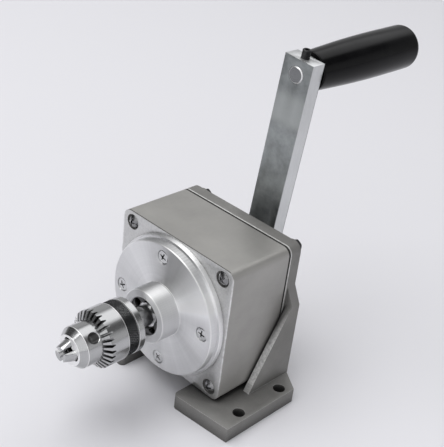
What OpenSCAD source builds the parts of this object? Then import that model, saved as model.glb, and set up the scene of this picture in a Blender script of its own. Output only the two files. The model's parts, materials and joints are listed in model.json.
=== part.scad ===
// Hand cranked bench tapping machine with a three-jaw key chuck.
// X runs to the right seen from the chuck, Y runs back towards the crank, Z is up.
// The origin lies on the bench, in the middle of the four mounting holes.
// Depths are measured back from the front face of the gear housing.

/* [Gear housing] */
// Width of the housing
housing_w = 88; // [86:1:96]
// Height of the housing
housing_h = 85.2; // [84:0.4:94]
// Depth of the housing, front face to gasket
housing_depth = 44.8; // [44.6:0.2:52]
// Thickness of the housing's side walls
housing_wall = 5.5; // [4:0.5:6.5]
// Thickness of the housing's front wall
front_wall = 6; // [5:0.5:7]
// Rounding of the housing's four long edges
housing_edge_r = 5; // [3:0.5:7]
// Thickness of the gasket
gasket_t = 1; // [0.4:0.1:1.2]
// How far the gasket's edge lies inside the housing's
gasket_inset = 0.8; // [0.2:0.1:1]

/* [Base bracket] */
// Thickness of the upright back plate
plate_t = 8.6; // [8:0.2:12]
// Height of a foot
foot_t = 9.4; // [7:0.2:14]
// Air between the feet and the housing above them
foot_gap = 1.2; // [0.4:0.2:4]
// How far a foot stands out beside the housing
foot_out = 18.6; // [18:0.2:26]
// How far a foot reaches in under the housing
foot_in = 21.6; // [12:0.4:30]
// How far a foot's outer end stands out in front of the housing
foot_front = 10; // [8:0.4:16]
// How much further its inner end stands out
foot_slant = 3.6; // [0:0.4:5.2]
// Width of the slanted corner at the back of a foot
foot_corner_w = 13.7; // [8:0.5:13.7]
// Depth of the slanted corner at the back of a foot
foot_corner_depth = 8.8; // [5:0.4:10]
// Rounding of a foot's inner front corner
foot_inner_r = 3; // [2:0.5:10]
// Thickness of a gusset
gusset_t = 4.3; // [3:0.1:5.6]
// Air between a gusset and the side of the housing
gusset_gap = 1.2; // [0.3:0.1:2]
// How far a gusset's foot reaches forward from the plate
gusset_reach = 25.3; // [18:0.5:30]
// Height of a gusset above the foot
gusset_h = 49.2; // [36:0.4:54]
// Height over which the plate narrows above the gussets
shoulder_h = 11; // [6:0.5:20]
// How far the plate's wide lower part lies behind its front face
plate_step = 2.2; // [1:0.2:4]
// Radius of the bearing boss behind the plate
boss_r = 14; // [12.5:0.5:18]
// Length of the bearing boss behind the plate
boss_len = 9.8; // [8:0.2:16]

/* [Mounting holes] */
// Radius of a mounting hole
mount_hole_r = 3.6; // [2.6:0.1:4.6]
// Distance from the plate's back face forward to the rear holes
mount_tail = 15.4; // [13:0.2:20]
// Distance from the housing's front face back to the front holes
mount_setback = 5; // [2:0.5:9]
// Distance of the holes outside the side of the housing
mount_out = 12.6; // [9:0.2:14]

/* [Corner bolts] */
// Distance of a corner bolt in from the side of the housing
bolt_inset_w = 7.7; // [6.4:0.1:9]
// Distance of a corner bolt in from the top or bottom of the housing
bolt_inset_h = 6.3; // [5.8:0.1:9]
// Radius of a corner bolt's shank
bolt_r = 2; // [1.5:0.1:2.5]
// Air around a corner bolt in its holes
bolt_gap = 0.2; // [0.1:0.05:0.4]
// Radius of a corner bolt's head
bolt_head_r = 4.1; // [3.4:0.1:4.6]
// Height of a corner bolt's head
bolt_head_h = 2.6; // [2.2:0.1:3.5]
// Height of the dome on a corner bolt's head
bolt_dome_h = 1.2; // [0.6:0.1:1.8]
// Depth of the recess a corner head sits in
bolt_sink = 1.4; // [0.5:0.1:2.5]
// Air around a corner head in its recess
bolt_sink_gap = 0.6; // [0.2:0.1:1]
// Radius of the columns that carry the corner bolts
column_r = 6.5; // [5.5:0.1:7.5]
// Radius of the boss under a corner nut
nut_boss_r = 5; // [4.4:0.1:6.4]
// Height of the boss under a corner nut
nut_boss_h = 2.6; // [1.5:0.1:4]
// Width across the flats of a corner nut
nut_flats = 7; // [6:0.1:8.5]
// Height of a corner nut
nut_h = 3.2; // [2.5:0.1:4.5]
// How far a bolt's end stands out of its nut
bolt_tail = 1; // [0.4:0.1:4]

/* [Front flange] */
// How far the flange's foot ring stays inside the housing's height
rim_margin = 0.4; // [0.3:0.1:1.5]
// Thickness of the flange's foot ring
rim_t = 3; // [2:0.1:5]
// How far the flange's front disc stays inside its foot ring
rim_step = 1.8; // [1:0.1:4]
// How far the disc stands in front of the housing
disc_h = 7.8; // [7:0.2:11]
// Bevel on the disc's front edge
disc_bevel = 0.6; // [0.2:0.1:1.2]
// Radius of the spigot that fits in the housing
spigot_r = 25.4; // [24.6:0.2:26]
// Radius of the boss behind the flange
inner_boss_r = 16; // [14:0.5:17]
// Depth of the boss behind the flange
inner_boss_depth = 9; // [8:0.5:10]
// Radius of the hub
hub_r = 16.1; // [14:0.1:18]
// Length of the hub in front of the disc
hub_len = 12.7; // [11:0.1:18]
// Wall between a flange screw and the spigot, or its head's recess and the disc's edge, at the least
screw_wall = 0.6; // [0.4:0.1:1]
// Place of the flange screws between the spigot and the disc's edge, as a share
screw_place = 0.7; // [0:0.05:1]
// Turn of the flange screws off the vertical, in degrees
screw_turn = 3; // [0:1:15]
// Radius of a flange screw's shank
screw_r = 2; // [1.5:0.1:2.2]
// Radius of a flange screw's head
screw_head_r = 4; // [3.2:0.1:4.6]
// Height of a flange screw's head
screw_head_h = 2.2; // [1.6:0.1:3]
// How far a flange screw enters the housing
screw_bite = 4; // [3:0.5:4.5]

/* [Spindle and bearings] */
// Radius of the spindle in its bearings
spindle_r = 6; // [5:0.1:6.4]
// Outer radius of a spindle bearing
bearing_r = 11.5; // [11.2:0.1:11.9]
// Width of a spindle bearing
bearing_w = 6; // [5:0.2:7]
// Radius of a bearing ball
ball_r = 1.7; // [1.2:0.05:1.8]
// Number of balls in a bearing
ball_count = 10; // [7:1:12]
// Radius of the shoulder the bearings sit against
bearing_lip_r = 9.4; // [9:0.1:9.8]
// How deep the retaining ring lies in the hub's mouth
retainer_sink = 1.2; // [0.4:0.1:2]
// Thickness of the retaining ring
retainer_t = 3; // [2:0.2:4]
// Inner radius of the retaining ring
retainer_bore_r = 7.9; // [7.7:0.1:8.2]
// Number of round notches in the retaining ring
notch_count = 6; // [4:1:7]
// Radius of a notch
notch_r = 2.9; // [1.6:0.1:3]
// Wall left outside the notches
notch_wall = 0.4; // [0.3:0.1:0.8]
// Radius of the spindle's collar in front of the bearing
spindle_collar_r = 7.2; // [6.8:0.1:7.4]
// Width of that collar
spindle_collar_w = 1.2; // [0.8:0.1:2]
// Wrench flats on the spindle's neck, distance across
neck_flats = 10; // [8.4:0.2:11.4]
// Bare length of the neck between hub and chuck
neck_len = 11.3; // [8:0.1:18]
// Length of the taper the chuck sits on
taper_len = 13.5; // [9:0.5:13.5]
// Radius of the taper at its thick end
taper_r = 5; // [4.4:0.1:5.6]
// How much the taper's radius shrinks to its thin end
taper_drop = 0.36; // [0.2:0.02:0.6]

/* [Gears] */
// Tooth size, the pitch diameter over the number of teeth
gear_module = 0.85; // [0.8:0.01:0.88]
// Teeth on the small gears, a multiple of four plus two
small_teeth = 18; // [18]
// Teeth on the large gears, a multiple of four
large_teeth = 24; // [24]
// Pressure angle in degrees
pressure_angle = 25; // [22:1:27]
// Play between meshing teeth
backlash = 0.14; // [0.1:0.02:0.3]
// Width of the gears, as a share of the room between the flange's boss and the crank shaft's bush
gear_share = 0.29; // [0.2:0.01:0.32]
// Air in front of the front gears, as a share of what the gears leave free
front_air_share = 0.3; // [0.2:0.05:0.4]
// Length of the crank shaft's collar, as a share of what the gears leave free
collar_share = 0.38; // [0.3:0.02:0.45]
// Air between the rear gears and the crank shaft's collar
gear_air = 0.8; // [0.5:0.1:1]
// Radius of the layshaft, and of the crank shaft at its gear
gear_shaft_r = 4.5; // [4:0.1:4.8]
// Width of a key
key_w = 2.6; // [2:0.2:3]
// Height of a key
key_h = 2.2; // [2:0.1:2.5]
// Wall of a plain bush
bush_wall = 1.2; // [1:0.1:1.3]
// How deep the layshaft's bushes sit
lay_bush_len = 6; // [4:0.5:7]
// Thickness of a circlip
circlip_t = 1; // [0.8:0.1:1.4]
// How far a circlip stands out of its shaft
circlip_out = 1.8; // [1.2:0.1:2.4]

/* [Chuck] */
// Radius of the chuck's rear collar
collar_r = 15.9; // [15.4:0.1:17]
// Length of the chuck's rear collar
collar_len = 4.4; // [3:0.2:6]
// Radius of the knurled band
band_r = 15.6; // [15.4:0.1:17]
// Length of the knurled band
band_len = 7.3; // [5:0.1:10]
// Radius of the bright part of the sleeve
sleeve_r = 16.3; // [16:0.1:17.5]
// Length of the bright part of the sleeve
sleeve_len = 11.6; // [10:0.2:14]
// Number of bevel teeth on the sleeve
bevel_teeth = 29; // [20:1:36]
// Turn of the gaps between the bevel teeth off the horizontal, in degrees
bevel_turn = 5; // [0:1:12]
// Length of the toothed cone
bevel_len = 2.6; // [1.6:0.1:3.4]
// Depth of the bevel teeth
bevel_depth = 2.2; // [1:0.1:2.4]
// Width of a gap between bevel teeth, as a share of the teeth's outer spacing
bevel_gap = 0.5; // [0.35:0.05:0.55]
// Flat ring between the toothed cone and the chuck body
bevel_land = 0.6; // [0.4:0.1:1]
// Wall between the bevel teeth's roots and the chuck body inside the sleeve
sleeve_lip = 0.7; // [0.5:0.1:1.2]
// Radius of the chuck body in front of the sleeve
nose_r = 11.8; // [11.4:0.1:12.2]
// Length of the chuck body's straight part in front of the sleeve
nose_len = 9; // [8:0.1:12]
// Length of the nose cone
cone_len = 3.9; // [3:0.1:6]
// Radius of the chuck's front face
face_r = 8.6; // [7.8:0.1:9.4]
// Radius of the chuck body inside the sleeve
core_r = 14.2; // [13.9:0.1:14.4]
// Radius of a key hole
key_hole_r = 3.2; // [2.4:0.1:3.6]
// Depth of a key hole
key_hole_depth = 4.4; // [2.4:0.1:5]
// Width of the bevel round a key hole
key_hole_edge = 0.5; // [0.2:0.1:0.8]
// Distance from the cone back to the middle of the key holes
key_hole_back = 5.5; // [4.4:0.1:6.4]
// Angle of the first jaw about the spindle, from the right, in degrees
jaw_turn = 107; // [90:1:120]
// Radius of a jaw
jaw_r = 3; // [2.6:0.05:3.1]
// Lean of a jaw against the spindle, in degrees
jaw_lean = 14; // [13:0.5:15]
// Air between a jaw's outer side and the sleeve's lip
jaw_air = 0.1; // [0.06:0.02:0.3]
// How far a jaw's tip stands out of the front face
jaw_out = 5.4; // [4:0.2:7]
// Length of a jaw
jaw_len = 30; // [27:0.5:31]
// How far the jaws slide back
jaw_travel = 7; // [5:0.5:7.5]
// How far the jaws slide forward until they are closed
jaw_forward = 2.6; // [0:0.1:3]
// Distance of the gripping faces from the spindle's middle line when closed
jaw_closed_r = 1; // [0.6:0.1:1.4]
// Radius of the jaws' tips
jaw_tip_r = 4.5; // [3.6:0.1:5.2]
// Angle of a jaw's flank against its middle, in degrees
jaw_flank = 57; // [45:1:58]
// Angle of the bevel on a jaw's tip, in degrees
jaw_bevel = 18; // [16:1:40]
// Length of the bevel on a jaw's tip
jaw_bevel_len = 12; // [8:0.5:14]
// Radius of the tool hole
tool_hole_r = 3.2; // [2.8:0.1:3.6]
// Width of the split nut
split_nut_w = 5; // [4:0.2:6]
// Advance of the jaws for each turn of the sleeve
jaw_pitch = 1.8; // [1:0.1:3]

/* [Crank] */
// Radius of the crank shaft in its bushes
crank_r = 6; // [5.2:0.1:7]
// Radius of the crank shaft's thrust collar
crank_collar_r = 8; // [7.4:0.1:9]
// Width of the crank arm
arm_w = 20; // [18:0.5:24]
// Thickness of the crank arm
arm_t = 10; // [8:0.5:12]
// Distance between the crank shaft and the handle stud
crank_throw = 129.4; // [100:0.2:150]
// Length of the arm past the handle stud
arm_top = 9; // [8:0.5:15]
// Length of the arm past the crank shaft
arm_bottom = 13; // [11:0.5:18]
// Lean of the arm to the right at rest, in degrees
arm_lean = 5; // [0:0.5:20]
// Radius of the handle stud in the arm
stud_r = 5; // [4:0.1:6]
// Radius of the handle stud in the grip
stud_grip_r = 4; // [3:0.1:4.2]
// Radius of the set screws
set_screw_r = 2.5; // [2:0.1:3]
// How far the upper set screw stands out
set_screw_out = 5; // [3:0.1:7]
// Radius of the hexagon in a set screw
hex_r = 1.5; // [1:0.1:1.7]

/* [Grip] */
// Length of the grip
grip_len = 90; // [80:1:120]
// Radius of the grip beside the arm
grip_neck_r = 11.2; // [10:0.1:12.2]
// Largest radius of the grip
grip_r = 13.3; // [12.6:0.1:15]
// Rounding of the grip's outer end
grip_end_r = 5; // [4:0.5:6]
// Radius of the plug in the grip's end
plug_r = 6.6; // [6:0.1:7]
// Thickness of the washer between arm and grip
washer_t = 1; // [0.6:0.1:2]

/* [Fits] */
// Air between pieces that are pressed or screwed together
fit = 0.02; // [0.01:0.01:0.04]
// Air all round a piece that turns or slides in another
run = 0.05; // [0.03:0.01:0.08]
// Air endways beside a piece that turns
end_play = 0.2; // [0.1:0.05:0.4]

/* [Hidden] */
$fn = 64;

// Heights and depths that follow from the sizes above
housing_bottom = foot_t + foot_gap;
axis_z = housing_bottom + housing_h / 2;
gasket_depth = housing_depth;
plate_depth = gasket_depth + gasket_t;
plate_back = plate_depth + plate_t;
mount_pitch = plate_back - mount_tail - mount_setback;
mount_span = housing_w + 2 * mount_out;
front_y = -(mount_setback + mount_pitch / 2);
rim_r = housing_h / 2 - rim_margin;
disc_r = rim_r - rim_step;
screw_low_r = spigot_r + screw_r + screw_wall;
screw_high_r = disc_r - disc_bevel - screw_head_r - screw_wall;
screw_circle_r = screw_low_r + (screw_high_r - screw_low_r) * screw_place;
boss_back = plate_back + boss_len;
foot_x_out = housing_w / 2 + foot_out;
foot_x_in = housing_w / 2 - foot_in;
gusset_x = housing_w / 2 + gusset_gap;
plate_half_low = gusset_x + gusset_t;
gusset_top = foot_t + gusset_h;

// Spindle and its bearings
hub_front = -disc_h - hub_len;
retainer_front = hub_front + retainer_sink;
retainer_back = retainer_front + retainer_t;
front_bearing_back = retainer_back + bearing_w;
rear_bearing_front = inner_boss_depth - bearing_w;
ball_circle_r = (spindle_r + bearing_r) / 2;
race_wall = (bearing_r - spindle_r - ball_r * 1.3) / 2;
gear_hub_r = spindle_r + 2.6;
crank_bush_flange_t = 2;
bush_flange_front = plate_depth - crank_bush_flange_t;
circlip_room = circlip_t + 1.5;
gear_room = bush_flange_front - inner_boss_depth;
gear_w = gear_room * gear_share;
free_room = gear_room - 2 * gear_w - 2 * circlip_room - end_play;
front_gear_depth = inner_boss_depth + free_room * front_air_share;
rear_gear_depth = bush_flange_front - free_room * collar_share - gear_w;
spindle_circlip_depth = front_gear_depth + gear_w + end_play / 2;
spindle_end = spindle_circlip_depth + circlip_room;

// Chuck
chuck_back = hub_front - neck_len;
collar_front = chuck_back - collar_len;
band_back = collar_front - end_play;
band_front = band_back - band_len;
sleeve_front = band_front - sleeve_len;
teeth_front = sleeve_front - bevel_len;
cone_back = teeth_front - nose_len;
face_front = cone_back - cone_len;
bevel_slope = atan(bevel_len / (sleeve_r - nose_r - bevel_land));
core_front = sleeve_front + bevel_depth / cos(bevel_slope)
    - (sleeve_r - core_r - run) * tan(bevel_slope) + sleeve_lip + end_play;
jaw_rest_r = jaw_closed_r + jaw_forward * sin(jaw_lean);
jaw_spread = nose_r + run - jaw_air - (core_front - end_play - face_front) * tan(jaw_lean)
    - jaw_r / cos(jaw_lean);
nut_front = core_front + 1.2;
nut_back = nut_front + split_nut_w;
nut_outer_r = core_r + 0.8;
nut_groove_r = jaw_outer(nut_front) - 0.25;
jaw_tip = face_front - jaw_out;
jaw_rear = jaw_len - jaw_out;
jaw_bore_len = jaw_rear + jaw_travel + 0.5;

// Distance from the spindle's middle line to the outer side of a jaw at one depth
function jaw_outer(depth) =
    jaw_spread + (depth - face_front) * tan(jaw_lean) + jaw_r / cos(jaw_lean);

// Gears and shafts behind the spindle
pair_distance = gear_module * (small_teeth + large_teeth) / 2;
lay_front = front_wall - lay_bush_len - 2;
lay_bush_r = gear_shaft_r + bush_wall;
lay_back = plate_depth + lay_bush_len;
crank_front = rear_gear_depth - circlip_room;
crank_gear_back = rear_gear_depth + gear_w;
crank_bush_r = crank_r + 2;
crank_bush_flange_r = crank_r + 4;
crank_bush_len = 8;
bush_flange_back = boss_back + crank_bush_flange_t;
crank_washer_t = 0.3;
arm_front = bush_flange_back + end_play / 2 + crank_washer_t;
arm_back = arm_front + arm_t;
key_drop = 1.2;

// Handle
grip_front = arm_back + washer_t + end_play;
grip_back = grip_front + grip_len;
grip_recess_depth = 14;
plug_t = 4;
grip_nut_t = 5;
grip_seat = grip_back - grip_recess_depth;

// Places the children on the spindle's middle line, depth along their Z
module on_spindle()
{
    translate([0, front_y, axis_z])
        rotate([-90, 0, 0])
            children();
}

// The same on the layshaft's middle line
module on_layshaft()
{
    translate([0, front_y, axis_z - pair_distance])
        rotate([-90, 0, 0])
            children();
}

// Turns the children about the spindle, seen from the front, from the right upwards
module at_angle(angle)
{
    rotate([0, 0, -angle])
        children();
}

// A ring or disc between two depths
module ring(outer, inner, depth_a, depth_b)
{
    translate([0, 0, depth_a])
        difference()
        {
            cylinder(r = outer, h = depth_b - depth_a);
            if (inner > 0)
                translate([0, 0, -1])
                    cylinder(r = inner, h = depth_b - depth_a + 2);
        }
}

// A plain hole between two depths
module hole(radius, depth_a, depth_b)
{
    translate([0, 0, depth_a])
        cylinder(r = radius, h = depth_b - depth_a);
}

// Rectangle about the middle with rounded corners
module rounded_rectangle(width, height, radius)
{
    square([width - 2 * radius, height], center = true);
    square([width, height - 2 * radius], center = true);
    for (x = [-1, 1], y = [-1, 1])
        translate([x * (width / 2 - radius), y * (height / 2 - radius)])
            circle(r = radius);
}

// The four corner places seen from the front: top left, top right, bottom right, bottom left
function corner_x(i) = [-1, 1, 1, -1][i - 1] * (housing_w / 2 - bolt_inset_w);
function corner_z(i) = [1, 1, -1, -1][i - 1] * (housing_h / 2 - bolt_inset_h);

module at_corner(i)
{
    translate([corner_x(i), -corner_z(i), 0])
        children();
}

module at_corners()
{
    for (i = [1 : 4])
        at_corner(i)
            children();
}

// Angle and place of each flange screw
function flange_screw_angle(i) = screw_turn + 90 * i;

module at_flange_screw(i)
{
    at_angle(flange_screw_angle(i))
        translate([screw_circle_r, 0, 0])
            children();
}

// Keyway or key on the top of a shaft, seated in the shaft by key_drop
module key_bar(shaft_r, width, height, depth_a, depth_b)
{
    translate([-width / 2, -(shaft_r - key_drop + height), depth_a])
        cube([width, height, depth_b - depth_a]);
}

// Involute gear outline with a tooth or a gap on the vertical
function involute(angle) = tan(angle) * 180 / PI - angle;

function tooth_half_angle(r, pitch_r, base_r, teeth) =
    90 / teeth - backlash / 2 / pitch_r * 90 / PI
    + involute(pressure_angle) - involute(acos(min(1, base_r / r)));

function tooth_side(teeth, side) =
    let (pitch_r = gear_module * teeth / 2,
         base_r = pitch_r * cos(pressure_angle),
         root_r = pitch_r - 1.25 * gear_module,
         tip_r = pitch_r + gear_module,
         start_r = max(base_r, root_r + 0.01))
    [for (k = [0 : 5])
        let (r = k == 0 ? root_r : start_r + (tip_r - start_r) * (k - 1) / 4,
             a = tooth_half_angle(max(r, start_r), pitch_r, base_r, teeth))
        [r, side * a]];

module gear_outline(teeth)
{
    left = tooth_side(teeth, -1);
    right = tooth_side(teeth, 1);
    polygon([for (t = [0 : teeth - 1], k = [0 : 11])
        let (p = k < 6 ? left[k] : right[11 - k],
             a = p[1] + t * 360 / teeth)
        [p[0] * cos(a), p[0] * sin(a)]]);
}

module gear(teeth, bore_r, depth)
{
    translate([0, 0, depth])
        linear_extrude(height = gear_w)
            difference()
            {
                gear_outline(teeth);
                circle(r = bore_r);
            }
}

// A circlip: an open ring in a groove of its shaft
module circlip(shaft_r, depth)
{
    difference()
    {
        ring(shaft_r + circlip_out, shaft_r - 0.6 + fit, depth + fit, depth + circlip_t - fit);
        translate([-1.5, 0, depth - 1])
            cube([3, shaft_r + circlip_out + 1, circlip_t + 2]);
    }
}

// The groove that a circlip sits in
module circlip_groove(shaft_r, depth)
{
    ring(shaft_r + 1, shaft_r - 0.6, depth, depth + circlip_t);
}

// Outline of the back plate, as wide as the housing above and half_low wide each way below
module plate_outline(half_low)
{
    top = housing_h / 2;
    half_w = housing_w / 2;
    wide_z = gusset_top - axis_z;
    translate([0, -top / 2])
        rounded_rectangle(housing_w, top, housing_edge_r);
    polygon([[-half_w, -top / 2], [half_w, -top / 2], [half_w, -wide_z - shoulder_h],
        [half_low, -wide_z], [half_low, axis_z], [-half_low, axis_z], [-half_low, -wide_z],
        [-half_w, -wide_z - shoulder_h]]);
}

// One foot seen from above, on the right: X across, Y as depth
module foot_outline()
{
    front = -foot_front - foot_slant;
    turn = atan(foot_slant / (foot_in + foot_out));
    r = foot_inner_r;
    middle = [foot_x_in + r, front + r * tan(turn) + r / cos(turn)];
    outward = [sin(turn), -cos(turn)];
    difference()
    {
        polygon([[foot_x_in, front], [foot_x_out, -foot_front],
            [foot_x_out, plate_back - foot_corner_depth],
            [foot_x_out - foot_corner_w, plate_back], [foot_x_in, plate_back]]);
        difference()
        {
            polygon([[foot_x_in - 1, middle[1]], middle, middle + outward * r,
                middle + outward * (r + 2), [foot_x_in - 1, front - 2]]);
            translate(middle)
                circle(r = r);
        }
    }
}

// One gusset seen from the side: X as depth, Y as height above the bench
module gusset_outline()
{
    face = plate_depth + plate_step;
    polygon([[face + 0.5, foot_t - 0.5], [plate_depth - gusset_reach, foot_t - 0.5],
        [plate_depth - gusset_reach, foot_t], [face, gusset_top], [face + 0.5, gusset_top]]);
}

module mounting_holes()
{
    for (x = [-1, 1], y = [-1, 1])
        translate([x * mount_span / 2, y * mount_pitch / 2, -1])
            cylinder(r = mount_hole_r, h = foot_t + 2);
}

module base_bracket()
{
    color("#8b8a86")
    difference()
    {
        union()
        {
            on_spindle()
            {
                translate([0, 0, plate_depth])
                    linear_extrude(height = plate_t)
                        plate_outline(housing_w / 2);
                translate([0, 0, plate_depth + plate_step])
                    linear_extrude(height = plate_t - plate_step)
                        plate_outline(plate_half_low);
                ring(boss_r, 0, plate_back - 1, boss_back);
                at_corners()
                    ring(nut_boss_r, 0, plate_back - 1, plate_back + nut_boss_h);
            }
            for (side = [0, 1])
                mirror([side, 0, 0])
                    translate([0, front_y, 0])
                    {
                        linear_extrude(height = foot_t)
                            foot_outline();
                        translate([gusset_x, 0, 0])
                            rotate([90, 0, 90])
                                linear_extrude(height = gusset_t)
                                    gusset_outline();
                    }
        }
        on_spindle()
        {
            hole(crank_bush_r, plate_depth - 1, boss_back + 1);
            at_corners()
                hole(bolt_r + bolt_gap, plate_depth - 1, plate_back + nut_boss_h + 1);
        }
        on_layshaft()
            hole(lay_bush_r, plate_depth - 1, lay_back);
        mounting_holes();
    }
}

module gear_housing()
{
    cavity_w = housing_w - 2 * housing_wall;
    cavity_h = housing_h - 2 * housing_wall;
    color("#9a9994")
    on_spindle()
    difference()
    {
        linear_extrude(height = housing_depth)
            rounded_rectangle(housing_w, housing_h, housing_edge_r);
        difference()
        {
            translate([0, 0, front_wall])
                linear_extrude(height = housing_depth)
                    rounded_rectangle(cavity_w, cavity_h, 2);
            at_corners()
                hole(column_r, front_wall - 1, housing_depth + 1);
        }
        hole(spigot_r, -1, front_wall + 1);
        at_corners()
        {
            hole(bolt_r + bolt_gap, -1, housing_depth + 1);
            hole(bolt_head_r + bolt_sink_gap, -1, bolt_sink);
        }
        for (i = [1 : 4])
            at_flange_screw(i)
                hole(screw_r, -1, screw_bite + 0.4);
    }
}

module housing_gasket()
{
    seal_w = housing_w - 2 * gasket_inset;
    seal_h = housing_h - 2 * gasket_inset;
    cavity_w = housing_w - 2 * housing_wall;
    cavity_h = housing_h - 2 * housing_wall;
    color("#26262a")
    on_spindle()
    difference()
    {
        translate([0, 0, gasket_depth])
            linear_extrude(height = gasket_t)
                rounded_rectangle(seal_w, seal_h, housing_edge_r);
        difference()
        {
            translate([0, 0, gasket_depth - 1])
                linear_extrude(height = gasket_t + 2)
                    rounded_rectangle(cavity_w, cavity_h, 2);
            at_corners()
                hole(column_r, gasket_depth - 2, plate_depth + 2);
        }
        at_corners()
            hole(bolt_r + bolt_gap, gasket_depth - 1, plate_depth + 1);
    }
}

module front_flange()
{
    color("#c9cbcc")
    difference()
    {
        on_spindle()
        difference()
        {
            rotate_extrude()
                polygon([[0, hub_front], [hub_r - 0.5, hub_front], [hub_r, hub_front + 0.5],
                    [hub_r, -disc_h], [disc_r - disc_bevel, -disc_h], [disc_r, -disc_h + disc_bevel],
                    [disc_r, -rim_t], [rim_r - 0.4, -rim_t], [rim_r, -rim_t + 0.4], [rim_r, 0],
                    [spigot_r - fit, 0], [spigot_r - fit, front_wall], [inner_boss_r, front_wall],
                    [inner_boss_r, inner_boss_depth], [0, inner_boss_depth]]);
            hole(bearing_r, hub_front - 1, front_bearing_back);
            hole(bearing_lip_r, hub_front, inner_boss_depth);
            hole(bearing_r, rear_bearing_front, inner_boss_depth + 1);
            for (i = [1 : 4])
                at_flange_screw(i)
                {
                    hole(screw_r + fit, -disc_h - 1, 1);
                    hole(screw_head_r + 0.2, -disc_h - 1, -disc_h + screw_head_h);
                }
        }
        on_layshaft()
            hole(lay_bush_r, lay_front, inner_boss_depth + 1);
    }
}

// The cross recess in the top of a screw head
module cross_recess(head_r, depth)
{
    arm = head_r * 1.15;
    for (turn = [0, 90])
        rotate([0, 0, turn + 20])
            translate([-arm / 2, -0.45, -1])
                cube([arm, 0.9, depth + 1]);
}

// Flat head with a bevelled edge, its top at depth 0
module flat_head(head_r, head_h)
{
    difference()
    {
        rotate_extrude()
            polygon([[0, 0], [head_r - 0.6, 0], [head_r, 0.6], [head_r, head_h], [0, head_h]]);
        cross_recess(head_r, 1.2);
    }
}

// Domed head, its top at depth 0
module domed_head(head_r, head_h, dome_h)
{
    dome_r = (head_r * head_r + dome_h * dome_h) / 2 / dome_h;
    difference()
    {
        rotate_extrude()
            intersection()
            {
                square([head_r, head_h]);
                translate([0, dome_r])
                    circle(r = dome_r);
            }
        cross_recess(head_r, 1.5);
    }
}

module flange_screw(i)
{
    color("#b9bbbd")
    on_spindle()
        at_flange_screw(i)
        {
            translate([0, 0, -disc_h])
                flat_head(screw_head_r, screw_head_h);
            hole(screw_r - fit, -disc_h + screw_head_h - 0.1, screw_bite);
        }
}

module corner_bolt(i)
{
    head_top = bolt_sink - bolt_head_h;
    nut_back_depth = plate_back + nut_boss_h + nut_h;
    color("#8f9092")
    on_spindle()
        at_corner(i)
        {
            translate([0, 0, head_top])
                domed_head(bolt_head_r, bolt_head_h, bolt_dome_h);
            hole(bolt_r, bolt_sink - 0.1, nut_back_depth + bolt_tail);
        }
}

module corner_nut(i)
{
    nut_front = plate_back + nut_boss_h;
    color("#2b2b2e")
    on_spindle()
        at_corner(i)
            difference()
            {
                translate([0, 0, nut_front])
                    rotate([0, 0, 30])
                        cylinder(r = nut_flats / sqrt(3), h = nut_h, $fn = 6);
                hole(bolt_r + fit, nut_front - 1, nut_front + nut_h + 1);
            }
}

// Notched ring screwed into the hub's mouth
module bearing_retainer()
{
    notch_circle_r = bearing_r - fit - notch_wall - notch_r;
    color("#77787a")
    on_spindle()
    difference()
    {
        ring(bearing_r - fit, retainer_bore_r, retainer_front, retainer_back);
        for (k = [0 : notch_count - 1])
            at_angle(jaw_turn + 32 + k * 360 / notch_count)
                translate([notch_circle_r, 0, 0])
                    hole(notch_r, retainer_front - 1, retainer_back + 1);
    }
}

module ball_groove(front)
{
    translate([0, 0, front + bearing_w / 2])
        rotate_extrude()
            translate([ball_circle_r, 0])
                circle(r = ball_r + run);
}

module bearing_outer(front)
{
    color("#c4c6c8")
    on_spindle()
    difference()
    {
        ring(bearing_r - fit, bearing_r - race_wall, front + fit, front + bearing_w - fit);
        ball_groove(front);
    }
}

module bearing_inner(front)
{
    color("#c4c6c8")
    on_spindle()
    difference()
    {
        ring(spindle_r + race_wall, spindle_r + fit, front + fit, front + bearing_w - fit);
        ball_groove(front);
    }
}

// Balls in their cage ring
module bearing_balls(front)
{
    color("#a8845a")
    on_spindle()
    {
        ring(ball_circle_r + 0.5, ball_circle_r - 0.5,
            front + bearing_w / 2 - 1.3, front + bearing_w / 2 + 1.3);
        for (k = [0 : ball_count - 1])
            rotate([0, 0, k * 360 / ball_count])
                translate([ball_circle_r, 0, front + bearing_w / 2])
                    sphere(r = ball_r);
    }
}

module bearing_spacer()
{
    color("#7d7f82")
    on_spindle()
        ring(spindle_r + race_wall - 0.3, spindle_r + fit, front_bearing_back, rear_bearing_front);
}

module spindle()
{
    taper_front = chuck_back - taper_len;
    flats_front = chuck_back + 1.5;
    flats_back = hub_front - 1;
    color("#85878a")
    on_spindle()
    difference()
    {
        rotate_extrude()
            polygon([[0, taper_front], [taper_r - taper_drop - fit, taper_front],
                [taper_r - fit, chuck_back], [taper_r - fit, chuck_back + fit],
                [spindle_r, chuck_back + fit + 0.5],
                [spindle_r, retainer_back - spindle_collar_w],
                [spindle_collar_r, retainer_back - spindle_collar_w],
                [spindle_collar_r, retainer_back], [spindle_r, retainer_back],
                [spindle_r, spindle_end - 0.5], [spindle_r - 0.5, spindle_end], [0, spindle_end]]);
        at_angle(jaw_turn)
            for (side = [0, 1])
                mirror([side, 0, 0])
                    translate([neck_flats / 2, -spindle_r - 1, flats_front])
                        cube([spindle_r, 2 * spindle_r + 2, flats_back - flats_front]);
        key_bar(spindle_r, key_w + fit, key_h, front_gear_depth + 0.5,
            front_gear_depth + gear_w - 0.5);
        circlip_groove(spindle_r, spindle_circlip_depth);
    }
}

module spindle_gear()
{
    color("#6f7276")
    on_spindle()
    difference()
    {
        union()
        {
            gear(large_teeth, spindle_r + fit, front_gear_depth);
            ring(gear_hub_r, spindle_r + fit, inner_boss_depth + fit, front_gear_depth + 0.5);
        }
        key_bar(spindle_r, key_w + fit, key_h + fit, front_gear_depth, front_gear_depth + gear_w + 1);
    }
}

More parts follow.
